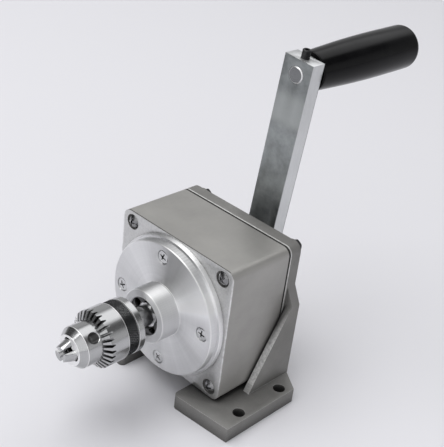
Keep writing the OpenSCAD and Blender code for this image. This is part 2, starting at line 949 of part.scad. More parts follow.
module spindle_key()
{
    color("#55585c")
    on_spindle()
        key_bar(spindle_r, key_w - fit, key_h - fit, front_gear_depth + 0.5 + fit,
            front_gear_depth + gear_w - 0.5 - fit);
}

module spindle_circlip()
{
    color("#3a3b3d")
    on_spindle()
        circlip(spindle_r, spindle_circlip_depth);
}

// Places the children on a jaw's middle line, at the front face, tip towards -Z
module on_jaw(i)
{
    at_angle(jaw_turn - 120 * (i - 1))
        translate([jaw_spread, 0, face_front])
            rotate([0, jaw_lean, 0])
                children();
}

module chuck_body()
{
    color("#c2c4c6")
    on_spindle()
    difference()
    {
        rotate_extrude()
            polygon([[0, face_front], [face_r, face_front], [nose_r, cone_back], [nose_r, core_front],
                [core_r, core_front], [core_r, collar_front], [collar_r, collar_front],
                [collar_r, chuck_back - 0.8], [collar_r - 0.8, chuck_back], [0, chuck_back]]);
        rotate_extrude()
            polygon([[0, chuck_back - taper_len - 1], [taper_r - taper_drop, chuck_back - taper_len - 1],
                [taper_r - taper_drop, chuck_back - taper_len], [taper_r, chuck_back],
                [taper_r, chuck_back + 1], [0, chuck_back + 1]]);
        hole(tool_hole_r, face_front - 1, nut_back + 1);
        ring(core_r + 2, nut_groove_r, nut_front - end_play, nut_back + end_play);
        for (i = [1 : 3])
        {
            on_jaw(i)
                hole(jaw_r + run, -jaw_out - 4, jaw_bore_len);
            at_angle(jaw_turn - 60 - 120 * (i - 1))
                translate([nose_r, 0, cone_back + key_hole_back])
                    rotate([0, 90, 0])
                    {
                        translate([0, 0, -key_hole_depth])
                            cylinder(r = key_hole_r, h = key_hole_depth + 2);
                        translate([0, 0, -key_hole_edge])
                            cylinder(r1 = key_hole_r, r2 = key_hole_r + 2 * key_hole_edge, h = 2 * key_hole_edge);
                    }
        }
    }
}

module chuck_sleeve()
{
    gap_half = bevel_gap * PI * sleeve_r / bevel_teeth;
    color("#b4b6b8")
    on_spindle()
    difference()
    {
        rotate_extrude()
            polygon([[nose_r + run, teeth_front], [nose_r + bevel_land, teeth_front],
                [sleeve_r, sleeve_front], [sleeve_r, band_front], [band_r, band_front],
                [band_r, band_back], [core_r + run, band_back], [core_r + run, nut_back],
                [nut_outer_r, nut_back], [nut_outer_r, nut_front],
                [core_r + run, nut_front], [core_r + run, core_front - end_play],
                [nose_r + run, core_front - end_play]]);
        for (k = [0 : bevel_teeth - 1])
            at_angle(bevel_turn + k * 360 / bevel_teeth)
                translate([sleeve_r, 0, sleeve_front])
                    rotate([0, -90 - bevel_slope, 0])
                        translate([0, 0, -3])
                            linear_extrude(height = sleeve_r)
                                polygon([[-1, -gap_half * 1.25], [bevel_depth, -gap_half * 0.4],
                                    [bevel_depth, gap_half * 0.4], [-1, gap_half * 1.25]]);
    }
}

// Nut inside the sleeve: its cone bears on the outer sides of the jaws
module chuck_split_nut()
{
    color("#7c7e80")
    on_spindle()
        rotate_extrude()
            polygon([[jaw_outer(nut_front) + run, nut_front + fit], [nut_outer_r - fit, nut_front + fit],
                [nut_outer_r - fit, nut_back - fit], [jaw_outer(nut_back) + run, nut_back - fit]]);
}

// A jaw: a leaning round bar with a gripping face, two flanks and a bevelled tip
module chuck_jaw(i)
{
    reach = 2 * core_r;
    color("#d2d4d6")
    on_spindle()
    difference()
    {
        intersection()
        {
            on_jaw(i)
                hole(jaw_r, -jaw_out / cos(jaw_lean), jaw_rear);
            at_angle(jaw_turn - 120 * (i - 1))
                translate([-jaw_travel * sin(jaw_lean), 0, 0])
                    hole(core_r, jaw_tip - 1, chuck_back);
        }
        rotate_extrude()
            polygon([[jaw_tip_r - tan(jaw_bevel), jaw_tip - 1], [reach, jaw_tip - 1],
                [reach, jaw_tip + jaw_bevel_len],
                [jaw_tip_r + jaw_bevel_len * tan(jaw_bevel), jaw_tip + jaw_bevel_len]]);
        at_angle(jaw_turn - 120 * (i - 1))
        {
            translate([jaw_rest_r - reach, -reach / 2, jaw_tip - 1])
                cube([reach, reach, jaw_len + reach]);
            for (side = [-1, 1])
                translate([jaw_rest_r - 0.4, 0, jaw_tip - 1])
                    rotate([0, 0, side * jaw_flank])
                        translate([-reach, side > 0 ? 0 : -reach, 0])
                            cube([2 * reach, reach, jaw_len + reach]);
        }
    }
}

module lay_shaft()
{
    color("#85878a")
    on_layshaft()
    difference()
    {
        ring(gear_shaft_r, 0, lay_front + end_play, lay_back - end_play);
        key_bar(gear_shaft_r, key_w + fit, key_h, front_gear_depth, crank_gear_back);
    }
}

module lay_gear(teeth, depth)
{
    color("#6f7276")
    on_layshaft()
    difference()
    {
        gear(teeth, gear_shaft_r + fit, depth);
        key_bar(gear_shaft_r, key_w + fit, key_h + fit, depth - 1, depth + gear_w + 1);
    }
}

module lay_spacer()
{
    front = front_gear_depth + gear_w;
    color("#7d7f82")
    on_layshaft()
    difference()
    {
        ring(gear_shaft_r + 1.9, gear_shaft_r + fit, front + fit, rear_gear_depth - fit);
        key_bar(gear_shaft_r, key_w + fit, key_h + fit, front - 1, rear_gear_depth + 1);
    }
}

module lay_key()
{
    color("#55585c")
    on_layshaft()
        key_bar(gear_shaft_r, key_w - fit, key_h - fit, front_gear_depth + fit, crank_gear_back - fit);
}

module lay_bush(depth_a, depth_b)
{
    color("#a9803c")
    on_layshaft()
        ring(lay_bush_r - fit, gear_shaft_r + run, depth_a, depth_b);
}

module crank_shaft()
{
    flat_top = crank_r - 0.6;
    color("#85878a")
    on_spindle()
    difference()
    {
        rotate_extrude()
            polygon([[0, crank_front], [gear_shaft_r - 0.5, crank_front],
                [gear_shaft_r, crank_front + 0.5], [gear_shaft_r, crank_gear_back],
                [crank_r, crank_gear_back], [crank_r, crank_gear_back + gear_air],
                [crank_collar_r, crank_gear_back + gear_air],
                [crank_collar_r, bush_flange_front - end_play / 2],
                [crank_r, bush_flange_front - end_play / 2], [crank_r, arm_back - 0.5],
                [crank_r - 0.5, arm_back], [0, arm_back]]);
        key_bar(gear_shaft_r, key_w + fit, key_h, rear_gear_depth + 0.5, crank_gear_back - 0.5);
        circlip_groove(gear_shaft_r, rear_gear_depth - circlip_t - 0.1);
        rotate([0, 0, arm_lean])
            translate([-crank_r, flat_top, arm_front + 1])
                cube([2 * crank_r, 2, arm_t]);
    }
}

module crank_gear()
{
    color("#6f7276")
    on_spindle()
    difference()
    {
        gear(small_teeth, gear_shaft_r + fit, rear_gear_depth);
        key_bar(gear_shaft_r, key_w + fit, key_h + fit, rear_gear_depth - 1, crank_gear_back + 1);
    }
}

module crank_key()
{
    color("#55585c")
    on_spindle()
        key_bar(gear_shaft_r, key_w - fit, key_h - fit, rear_gear_depth + 0.5 + fit,
            crank_gear_back - 0.5 - fit);
}

module crank_circlip()
{
    color("#3a3b3d")
    on_spindle()
        circlip(gear_shaft_r, rear_gear_depth - circlip_t - 0.1);
}

module crank_bush_front()
{
    color("#a9803c")
    on_spindle()
    {
        ring(crank_bush_flange_r, crank_r + run, bush_flange_front, plate_depth);
        ring(crank_bush_r - fit, crank_r + run, plate_depth - 0.1, plate_depth + crank_bush_len);
    }
}

module crank_bush_rear()
{
    color("#a9803c")
    on_spindle()
    {
        ring(crank_bush_flange_r, crank_r + run, boss_back, bush_flange_back);
        ring(crank_bush_r - fit, crank_r + run, boss_back - crank_bush_len, boss_back + 0.1);
    }
}

module crank_washer()
{
    color("#9fa1a3")
    on_spindle()
        ring(crank_bush_flange_r, crank_r + fit, arm_front - crank_washer_t, arm_front);
}

// Places the children on the arm: X across it, Y up along it, Z as depth
module on_arm()
{
    on_spindle()
        rotate([0, 0, arm_lean])
            mirror([0, 1, 0])
                children();
}

module crank_arm()
{
    color("#9da4a6")
    on_arm()
    difference()
    {
        translate([-arm_w / 2, -arm_bottom, arm_front])
            cube([arm_w, arm_bottom + crank_throw + arm_top, arm_t]);
        hole(crank_r + fit, arm_front - 1, arm_back + 1);
        translate([0, crank_throw, 0])
            hole(stud_r + fit, arm_front - 1, arm_back + 1);
        translate([0, crank_throw, arm_front + arm_t / 2])
            rotate([-90, 0, 0])
                cylinder(r = set_screw_r + fit, h = arm_top + 1);
        translate([0, -arm_bottom - 1, arm_front + arm_t / 2])
            rotate([-90, 0, 0])
                cylinder(r = set_screw_r + fit, h = arm_bottom + 1);
    }
}

// A socket set screw between two heights along the arm, its socket at the outer end
module set_screw(tip, top)
{
    length = abs(top - tip);
    direction = top > tip ? 1 : -1;
    color("#1d1d1f")
    on_arm()
        translate([0, tip, arm_front + arm_t / 2])
            rotate([-90 * direction, 0, 0])
                difference()
                {
                    cylinder(r = set_screw_r, h = length);
                    translate([0, 0, length - 2.4])
                        cylinder(r = hex_r, h = 3, $fn = 6);
                }
}

module handle_stud()
{
    color("#a5a8aa")
    on_arm()
        translate([0, crank_throw, 0])
            difference()
            {
                rotate_extrude()
                    polygon([[0, arm_front - 0.4], [stud_r - 0.8, arm_front - 0.4],
                        [stud_r, arm_front + 0.4], [stud_r, arm_back + washer_t],
                        [stud_grip_r, arm_back + washer_t], [stud_grip_r, grip_seat + grip_nut_t + 1],
                        [0, grip_seat + grip_nut_t + 1]]);
                translate([-stud_r, stud_r - 0.5, arm_front + 1])
                    cube([2 * stud_r, 2, arm_t - 2]);
            }
}

module handle_washer()
{
    color("#9fa1a3")
    on_arm()
        translate([0, crank_throw, 0])
            ring(grip_neck_r - 2, stud_r + fit, arm_back, arm_back + washer_t);
}

module handle_nut()
{
    color("#8f9092")
    on_arm()
        translate([0, crank_throw, 0])
            difference()
            {
                hole_front = grip_seat + end_play;
                translate([0, 0, hole_front])
                    cylinder(r = plug_r - 0.4, h = grip_nut_t, $fn = 6);
                hole(stud_grip_r + fit, hole_front - 1, hole_front + grip_nut_t + 1);
            }
}

// Grip: slim beside the arm, full in its outer half, rounded at the end
module handle_grip()
{
    color("#141416")
    on_arm()
        translate([0, crank_throw, 0])
            difference()
            {
                rotate_extrude()
                {
                    polygon([[0, grip_front], [grip_neck_r - 0.8, grip_front],
                        [grip_neck_r, grip_front + 0.8],
                        for (k = [1 : 7])
                            [grip_neck_r + (grip_r - grip_neck_r) * sin(k * 90 / 7),
                             grip_front + 0.8 + (grip_len * 0.66 - 0.8) * k / 7],
                        [grip_r, grip_back - grip_end_r], [0, grip_back - grip_end_r]]);
                    translate([0, grip_back - grip_end_r])
                        square([grip_r - grip_end_r, grip_end_r]);
                    intersection()
                    {
                        translate([grip_r - grip_end_r, grip_back - grip_end_r])
                            circle(r = grip_end_r);
                        translate([0, grip_back - grip_end_r])
                            square([grip_r + 1, grip_end_r + 1]);
                    }
                }
                hole(stud_grip_r + run, grip_front - 1, grip_back);
                hole(plug_r, grip_seat, grip_back + 1);
            }
}

module grip_plug()
{
    color("#141416")
    on_arm()
        translate([0, crank_throw, 0])
            ring(plug_r - fit, 0, grip_back - plug_t, grip_back);
}

base_bracket();
gear_housing();
housing_gasket();
front_flange();
flange_screw(1);  // flange_screw_1
flange_screw(2);  // flange_screw_2
flange_screw(3);  // flange_screw_3
flange_screw(4);  // flange_screw_4
corner_bolt(1);  // corner_bolt_1
corner_bolt(2);  // corner_bolt_2
corner_bolt(3);  // corner_bolt_3
corner_bolt(4);  // corner_bolt_4
corner_nut(1);  // corner_nut_1
corner_nut(2);  // corner_nut_2
corner_nut(3);  // corner_nut_3
corner_nut(4);  // corner_nut_4
bearing_retainer();
bearing_outer(retainer_back);  // front_bearing_outer
bearing_balls(retainer_back);  // front_bearing_balls
bearing_inner(retainer_back);  // front_bearing_inner
bearing_outer(rear_bearing_front);  // rear_bearing_outer
bearing_balls(rear_bearing_front);  // rear_bearing_balls
bearing_inner(rear_bearing_front);  // rear_bearing_inner
bearing_spacer();
spindle();
spindle_gear();
spindle_key();
spindle_circlip();
chuck_body();
chuck_sleeve();
chuck_split_nut();
chuck_jaw(1);  // chuck_jaw_1
chuck_jaw(2);  // chuck_jaw_2
chuck_jaw(3);  // chuck_jaw_3
lay_shaft();
lay_gear(small_teeth, front_gear_depth);  // lay_gear_front
lay_gear(large_teeth, rear_gear_depth);  // lay_gear_rear
lay_spacer();
lay_key();
lay_bush(lay_front, front_wall);  // lay_bush_front
lay_bush(plate_depth, lay_back);  // lay_bush_rear
crank_shaft();
crank_gear();
crank_key();
crank_circlip();
crank_bush_front();
crank_bush_rear();
crank_washer();
crank_arm();
set_screw(-(crank_r - 0.6 + fit), -arm_bottom);  // crank_set_screw
set_screw(crank_throw + stud_r - 0.5 + fit, crank_throw + arm_top + set_screw_out);  // handle_set_screw
handle_stud();
handle_washer();
handle_nut();
handle_grip();
grip_plug();
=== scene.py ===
import json
import math

import bmesh
import bpy
import numpy as np
from mathutils import Matrix, Vector

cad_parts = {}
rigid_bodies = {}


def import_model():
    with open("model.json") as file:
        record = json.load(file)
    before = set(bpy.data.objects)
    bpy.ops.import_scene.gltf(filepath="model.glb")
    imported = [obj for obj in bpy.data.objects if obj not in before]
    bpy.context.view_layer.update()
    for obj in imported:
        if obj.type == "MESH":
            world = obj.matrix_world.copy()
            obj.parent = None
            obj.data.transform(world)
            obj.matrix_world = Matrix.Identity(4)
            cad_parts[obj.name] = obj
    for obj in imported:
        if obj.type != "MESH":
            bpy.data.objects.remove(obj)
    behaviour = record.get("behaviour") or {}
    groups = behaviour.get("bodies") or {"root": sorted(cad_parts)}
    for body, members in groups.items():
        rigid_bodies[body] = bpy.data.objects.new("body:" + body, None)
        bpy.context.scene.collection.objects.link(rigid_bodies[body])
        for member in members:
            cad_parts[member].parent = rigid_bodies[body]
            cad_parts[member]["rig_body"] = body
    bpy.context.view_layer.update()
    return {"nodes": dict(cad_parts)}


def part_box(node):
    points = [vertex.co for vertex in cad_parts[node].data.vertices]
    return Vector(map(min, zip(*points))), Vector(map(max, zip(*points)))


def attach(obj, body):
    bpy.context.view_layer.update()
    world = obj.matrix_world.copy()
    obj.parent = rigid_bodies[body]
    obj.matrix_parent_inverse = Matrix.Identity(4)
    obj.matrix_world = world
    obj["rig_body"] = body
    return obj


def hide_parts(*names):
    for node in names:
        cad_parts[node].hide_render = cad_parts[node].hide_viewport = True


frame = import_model()
nodes = frame["nodes"]
print("frame loaded,", len(nodes), "nodes")

mm = 0.001

# the spindle's middle line and the handle's, both along Y, and the housing's front face
axisX, axisZ = 0.0, sum(c.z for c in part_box("bearing_retainer")) / 2
handleX = sum(c.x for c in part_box("handle_grip")) / 2
handleZ = sum(c.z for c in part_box("handle_grip")) / 2
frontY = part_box("gear_housing")[0].y


shot = {
    "place": (0.300520, -0.328769, 0.351382),
    # the columns are the camera's right, its up and its backward direction
    "turn": ((0.703957, -0.417134, 0.574842),
             (0.701609, 0.282602, -0.654126),
             (0.110407, 0.863791, 0.491605)),
    "lens": 74.356,
    "sensor": 36,
}


def addCamera():
    data = bpy.data.cameras.new("photoView")
    data.sensor_fit = "HORIZONTAL"
    data.sensor_width = shot["sensor"]
    data.lens = shot["lens"]
    data.clip_start = 0.01
    camera = bpy.data.objects.new("photoView", data)
    camera.matrix_world = Matrix.Translation(shot["place"]) @ Matrix(shot["turn"]).to_4x4()
    bpy.context.scene.collection.objects.link(camera)
    bpy.context.scene.camera = camera


studio = {
    "floorColour": (0.80, 0.796, 0.83),
    "floorReach": 40,
    "skyColour": (0.985, 0.99, 1.0),
    "skyLevel": 0.3,
    # patches of the sky: degrees from +Y towards +X, degrees above the floor, half width in degrees,
    # softness of the edge, and the level that a glow adds or the share that a dark patch keeps
    "glows": ((-14, 50, 21, 0.35, 1.15), (57, 2, 20, 0.5, 0.28),
              (150, 18, 36, 0.5, 0.75), (-46, 16, 20, 0.5, 0.2)),
    "darks": ((35, 36, 13, 0.25, 0.3), (-112, 25, 21, 0.3, 0.15), (-152, 8, 20, 0.4, 0.3)),
    "lampSize": 2.05,
    "lampPlace": (-0.6, -0.6, 2.4),
    "lampAim": (0, 0, 0.05),
    "lampPower": 40.0,
}


def direction(turn, rise):
    turn, rise = math.radians(turn), math.radians(rise)
    return (math.sin(turn) * math.cos(rise), math.cos(turn) * math.cos(rise), math.sin(rise))


def addSky(scene):
    world = bpy.data.worlds.new("studio")
    scene.world = world
    world.use_nodes = True
    tree = world.node_tree
    tree.nodes.clear()
    out = tree.nodes.new("ShaderNodeOutputWorld")
    back = tree.nodes.new("ShaderNodeBackground")
    tree.links.new(back.outputs[0], out.inputs[0])
    where = tree.nodes.new("ShaderNodeTexCoord").outputs["Generated"]

    def patch(turn, rise, size, edge, outside, inside):
        # the inside value near a direction and the outside value far from it, by the cosine between them
        dot = tree.nodes.new("ShaderNodeVectorMath")
        dot.operation = "DOT_PRODUCT"
        tree.links.new(where, dot.inputs[0])
        dot.inputs[1].default_value = direction(turn, rise)
        soft = tree.nodes.new("ShaderNodeMapRange")
        soft.interpolation_type = "SMOOTHSTEP"
        tree.links.new(dot.outputs["Value"], soft.inputs["Value"])
        soft.inputs["From Min"].default_value = math.cos(math.radians(size * (1 + edge)))
        soft.inputs["From Max"].default_value = math.cos(math.radians(size * (1 - edge)))
        soft.inputs["To Min"].default_value = outside
        soft.inputs["To Max"].default_value = inside
        return soft.outputs["Result"]

    def joined(operation, a, b):
        n = tree.nodes.new("ShaderNodeMath")
        n.operation = operation
        for socket, value in zip(n.inputs, (a, b)):
            if isinstance(value, bpy.types.NodeSocket):
                tree.links.new(value, socket)
            else:
                socket.default_value = value
        return n.outputs[0]

    level = studio["skyLevel"]
    for turn, rise, size, edge, strength in studio["glows"]:
        level = joined("ADD", patch(turn, rise, size, edge, 0, strength), level)
    for turn, rise, size, edge, keep in studio["darks"]:
        level = joined("MULTIPLY", patch(turn, rise, size, edge, 1, keep), level)
    tree.links.new(level, back.inputs["Strength"])
    back.inputs["Color"].default_value = (*studio["skyColour"], 1)


def addLamp(scene):
    light = bpy.data.lights.new("overhead", "AREA")
    light.size = studio["lampSize"]
    light.energy = studio["lampPower"]
    lamp = bpy.data.objects.new("overhead", light)
    aim = Vector(studio["lampAim"]) - Vector(studio["lampPlace"])
    turn = aim.to_track_quat("-Z", "Y").to_matrix().to_4x4()
    lamp.matrix_world = Matrix.Translation(studio["lampPlace"]) @ turn
    scene.collection.objects.link(lamp)


def addFloor(scene):
    mesh = bpy.data.meshes.new("floor")
    reach = studio["floorReach"]
    corners = [(-reach, -reach, 0), (reach, -reach, 0), (reach, reach, 0), (-reach, reach, 0)]
    mesh.from_pydata(corners, [], [(0, 1, 2, 3)])
    floor = bpy.data.objects.new("floor", mesh)
    scene.collection.objects.link(floor)
    material = bpy.data.materials.new("paleFloor")
    material.use_nodes = True
    shader = material.node_tree.nodes["Principled BSDF"]
    shader.inputs["Base Color"].default_value = (*studio["floorColour"], 1)
    shader.inputs["Roughness"].default_value = 0.9
    shader.inputs["Specular IOR Level"].default_value = 0.1
    mesh.materials.append(material)


def addStudio():
    scene = bpy.context.scene
    scene.view_settings.view_transform = "Standard"
    addSky(scene)
    addLamp(scene)
    addFloor(scene)


class Finish:
    # one procedural material; the small methods add a node each and hand back its output

    def __init__(self, name, **sockets):
        self.material = bpy.data.materials.new(name)
        self.material.use_nodes = True
        self.tree = self.material.node_tree
        self.shader = self.tree.nodes["Principled BSDF"]
        for key, value in sockets.items():
            self.put(key.replace("_", " "), value)
        where = self.tree.nodes.new("ShaderNodeTexCoord").outputs
        self.place, self.normal = where["Object"], where["Normal"]

    def put(self, key, value):
        if isinstance(value, bpy.types.NodeSocket):
            self.tree.links.new(value, self.shader.inputs[key])
        elif isinstance(value, tuple):
            self.shader.inputs[key].default_value = (*value, 1)
        else:
            self.shader.inputs[key].default_value = value

    def add(self, kind, settings=None, **inputs):
        # an input is given by its name, with _ for a space, or by its number as i0, i1
        n = self.tree.nodes.new("ShaderNode" + kind)
        for key, value in (settings or {}).items():
            setattr(n, key, value)
        for key, value in inputs.items():
            key = int(key[1:]) if key[0] == "i" and key[1:].isdigit() else key.replace("_", " ")
            if isinstance(value, bpy.types.NodeSocket):
                self.tree.links.new(value, n.inputs[key])
            else:
                n.inputs[key].default_value = value
        return n

    def math(self, operation, a, b=0.0):
        return self.add("Math", {"operation": operation}, i0=a, i1=b).outputs[0]

    def times(self, a, b):
        return self.math("MULTIPLY", a, b)

    def plus(self, a, b):
        return self.math("ADD", a, b)

    def away(self, value, middle):
        # how far a value is from the middle one, on either side
        return self.math("ABSOLUTE", self.math("SUBTRACT", value, middle))

    def most(self, *values):
        total = values[0]
        for value in values[1:]:
            total = self.math("MAXIMUM", total, value)
        return total

    def ranged(self, value, low, high, toLow=0.0, toHigh=1.0, kind="LINEAR"):
        return self.add("MapRange", {"interpolation_type": kind}, Value=value, From_Min=low,
                        From_Max=high, To_Min=toLow, To_Max=toHigh).outputs["Result"]

    def line(self, value, middle, half, soft=0.1 * mm):
        # one within half of the middle value, and nothing beyond
        return self.ranged(self.away(value, middle), half, half + soft, 1, 0)

    def noise(self, scale, detail=3.0, rough=0.5, where=None, stretch=None):
        where = where or self.place
        if stretch:
            where = self.add("Mapping", Vector=where, Scale=stretch).outputs[0]
        n = self.add("TexNoise", Vector=where, Scale=scale, Detail=detail, Roughness=rough)
        return n.outputs["Fac"]

    def colours(self, fac, *stops):
        ramp = self.add("ValToRGB", Fac=fac)
        items = ramp.color_ramp.elements
        while len(items) < len(stops):
            items.new(0.5)
        for item, (place, colour) in zip(items, stops):
            item.position = place
            item.color = (*colour, 1)
        return ramp.outputs["Color"]

    def mixed(self, fac, a, b, blend="MIX"):
        n = self.add("Mix", {"data_type": "RGBA", "blend_type": blend})
        for socket, value in ((n.inputs["Factor"], fac), (n.inputs[6], a), (n.inputs[7], b)):
            if isinstance(value, bpy.types.NodeSocket):
                self.tree.links.new(value, socket)
            else:
                socket.default_value = (*value, 1) if isinstance(value, tuple) else value
        return n.outputs[2]

    def shaded(self, skin, shade):
        return self.mixed(1.0, skin, shade, "MULTIPLY")

    def bump(self, *layers):
        # each layer is a height output and its depth in metres
        normal = None
        for height, depth in layers:
            n = self.add("Bump", Height=height, Distance=depth, Strength=1.0)
            if normal:
                self.tree.links.new(normal, n.inputs["Normal"])
            normal = n.outputs[0]
        self.put("Normal", normal)

    def split(self, where=None):
        return self.add("SeparateXYZ", Vector=where or self.place).outputs

    def recess(self, reach, dark=0.06, own=True):
        # painted shade where walls stand close, from the piece's own walls or also its neighbours'
        near = self.add("AmbientOcclusion", {"samples": 6, "only_local": own}, Distance=reach)
        return self.ranged(near.outputs["AO"], 0.2, 0.75, dark, 1)

    def fromAxis(self, x, z):
        # distance from a line along Y, the place's parts seen from that line, and the place laid flat
        moved = self.add("VectorMath", {"operation": "SUBTRACT"}, i0=self.place, i1=(x, 0, z)).outputs[0]
        parts = self.split(moved)
        flat = self.add("CombineXYZ", X=parts[0], Z=parts[2]).outputs[0]
        length = self.add("VectorMath", {"operation": "LENGTH"}, i0=flat).outputs["Value"]
        return length, parts, flat

    def turned(self, flat):
        # the direction round the axis, for the sheen of a turned face
        around = self.add("VectorMath", {"operation": "CROSS_PRODUCT"}, i0=(0, 1, 0), i1=flat).outputs[0]
        world = self.add("VectorTransform", {"vector_type": "VECTOR", "convert_from": "OBJECT",
                                             "convert_to": "WORLD"}, Vector=around).outputs[0]
        unit = self.add("VectorMath", {"operation": "NORMALIZE"}, i0=world).outputs[0]
        self.put("Tangent", unit)


castSkin = {
    "dark": (0.19, 0.187, 0.18), "light": (0.30, 0.295, 0.285), "paintedHighlight": (0.72, 0.72, 0.71),
    "metal": 0.55, "rough": (0.5, 0.7),
    "grain": 2600, "grainDepth": 0.12 * mm, "blotch": 45, "pit": 260, "pitDepth": 0.10 * mm,
    "gussetFacing": (0, -0.82, 0.57),
    "shadeReach": 22 * mm, "shade": 0.12,
}


def castGrey():
    # sand cast base: matt grey with a fine grain and faint blotches, with painted highlights in patches on its
    # edges and painted shade where neighbours stand close
    f = Finish("castGrey", Metallic=castSkin["metal"])
    grain = f.noise(castSkin["grain"], 4, 0.7)
    blotch = f.noise(castSkin["blotch"], 4, 0.6)
    both = f.plus(f.times(grain, 0.35), f.times(blotch, 0.65))
    skin = f.colours(both, (0.25, castSkin["dark"]), (0.75, castSkin["light"]))
    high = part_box("gear_housing")[1]
    parts = f.split()
    patchy = f.ranged(f.noise(600, 3, 0.7), 0.35, 0.6, 0.55, 0.95)
    # a painted highlight: a thin bright line on the plate's edge along the gasket
    inside = f.ranged(f.math("ABSOLUTE", parts[0]), high.x + 0.2 * mm, high.x + 0.6 * mm, 1, 0)
    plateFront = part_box("housing_gasket")[1].y
    lip = f.times(f.line(parts[1], plateFront + 0.5 * mm, 0.35 * mm), inside)
    # a painted highlight on the gussets' slanted edges, which face forwards and up
    facing = f.add("VectorMath", {"operation": "DOT_PRODUCT"}, i0=f.normal, i1=castSkin["gussetFacing"])
    aboveFeet = f.ranged(parts[2], 13.5 * mm, 14.5 * mm)
    gussetHighlight = f.times(f.ranged(facing.outputs["Value"], 0.94, 0.98), aboveFeet)
    # a faint painted highlight on the rounded upper rims of the feet
    rounded = f.line(f.split(f.normal)[2], 0.65, 0.2, 0.15)
    onFeet = f.ranged(parts[2], 14.6 * mm, 15.0 * mm, 1, 0)
    rimHighlight = f.times(f.times(rounded, 0.6), onFeet)
    skin = f.mixed(f.times(lip, patchy), skin, castSkin["paintedHighlight"])
    # painted shade where neighbours stand close, such as on the feet under the housing
    skin = f.shaded(skin, f.recess(castSkin["shadeReach"], castSkin["shade"], own=False))
    f.put("Base Color", f.mixed(f.times(f.most(gussetHighlight, rimHighlight), patchy), skin, castSkin["paintedHighlight"]))
    f.put("Roughness", f.ranged(grain, 0.3, 0.7, *castSkin["rough"]))
    f.bump((grain, castSkin["grainDepth"]), (f.noise(castSkin["pit"], 3, 0.6), castSkin["pitDepth"]))
    return f.material


housingSkin = {
    "sideDark": (0.325, 0.318, 0.305), "sideLight": (0.395, 0.387, 0.37), "sideMetal": 0.4,
    "faceDark": (0.55, 0.55, 0.548), "faceLight": (0.66, 0.66, 0.657), "faceMetal": 0.92,
    "paintedHighlight": (0.85, 0.85, 0.85), "joint": (0.02, 0.02, 0.02),
    "rough": (0.33, 0.45), "streak": 700, "blotch": 30,
    "shadeReach": 4 * mm, "shade": 0.3,
}


def housingMetal():
    # die cast sides with a satin skin, and a machined front face
    f = Finish("housingMetal")
    parts = f.split()
    front = f.ranged(parts[1], frontY + 0.15 * mm, frontY + 0.35 * mm, 1, 0)
    streak = f.noise(housingSkin["streak"], 3, 0.6, stretch=(1, 0.25, 1))
    blotch = f.noise(housingSkin["blotch"], 4, 0.6)
    sides = f.colours(blotch, (0.3, housingSkin["sideDark"]), (0.7, housingSkin["sideLight"]))
    face = f.colours(streak, (0.3, housingSkin["faceDark"]), (0.7, housingSkin["faceLight"]))
    # how far in from the right or left side, and from the top or bottom
    low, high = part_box("gear_housing")
    sideways = f.math("SUBTRACT", high.x, f.math("ABSOLUTE", parts[0]))
    upright = f.math("SUBTRACT", (high.z - low.z) / 2, f.away(parts[2], axisZ))
    # painted highlights along the front's right and left edges, in patches
    patchy = f.ranged(f.noise(300, 4, 0.7), 0.35, 0.6, 0.2, 1)
    sideEdgeHighlight = f.times(f.ranged(sideways, 0.3 * mm, 0.9 * mm, 1, 0),
                   f.ranged(parts[1], frontY + 0.2 * mm, frontY + 0.9 * mm, 1, 0))
    # painted shade lines along the front's top and bottom edges, and a dark joint behind
    shade = f.times(f.ranged(upright, 0.2 * mm, 0.6 * mm, 1, 0),
                    f.line(parts[1], frontY + 0.6 * mm, 0.35 * mm))
    joint = f.ranged(parts[1], high.y - 0.7 * mm, high.y - 0.3 * mm)
    skin = f.mixed(f.times(sideEdgeHighlight, patchy), f.mixed(front, sides, face), housingSkin["paintedHighlight"])
    # the joint's dark colour also serves for the painted shade lines
    skin = f.mixed(f.most(f.times(joint, 0.85), f.times(shade, 0.75)), skin, housingSkin["joint"])
    # painted shade in nooks, such as under the flange and round the bolt heads
    nookShade = f.recess(housingSkin["shadeReach"], housingSkin["shade"], own=False)
    f.put("Base Color", f.shaded(skin, nookShade))
    f.put("Metallic", f.ranged(front, 0, 1, housingSkin["sideMetal"], housingSkin["faceMetal"]))
    f.put("Roughness", f.ranged(streak, 0.2, 0.8, *housingSkin["rough"]))
    f.bump((f.noise(1800, 3, 0.6), 0.03 * mm), (streak, 0.02 * mm))
    return f.material


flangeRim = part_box("front_flange")[1].x
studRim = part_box("handle_stud")[1].x - handleX

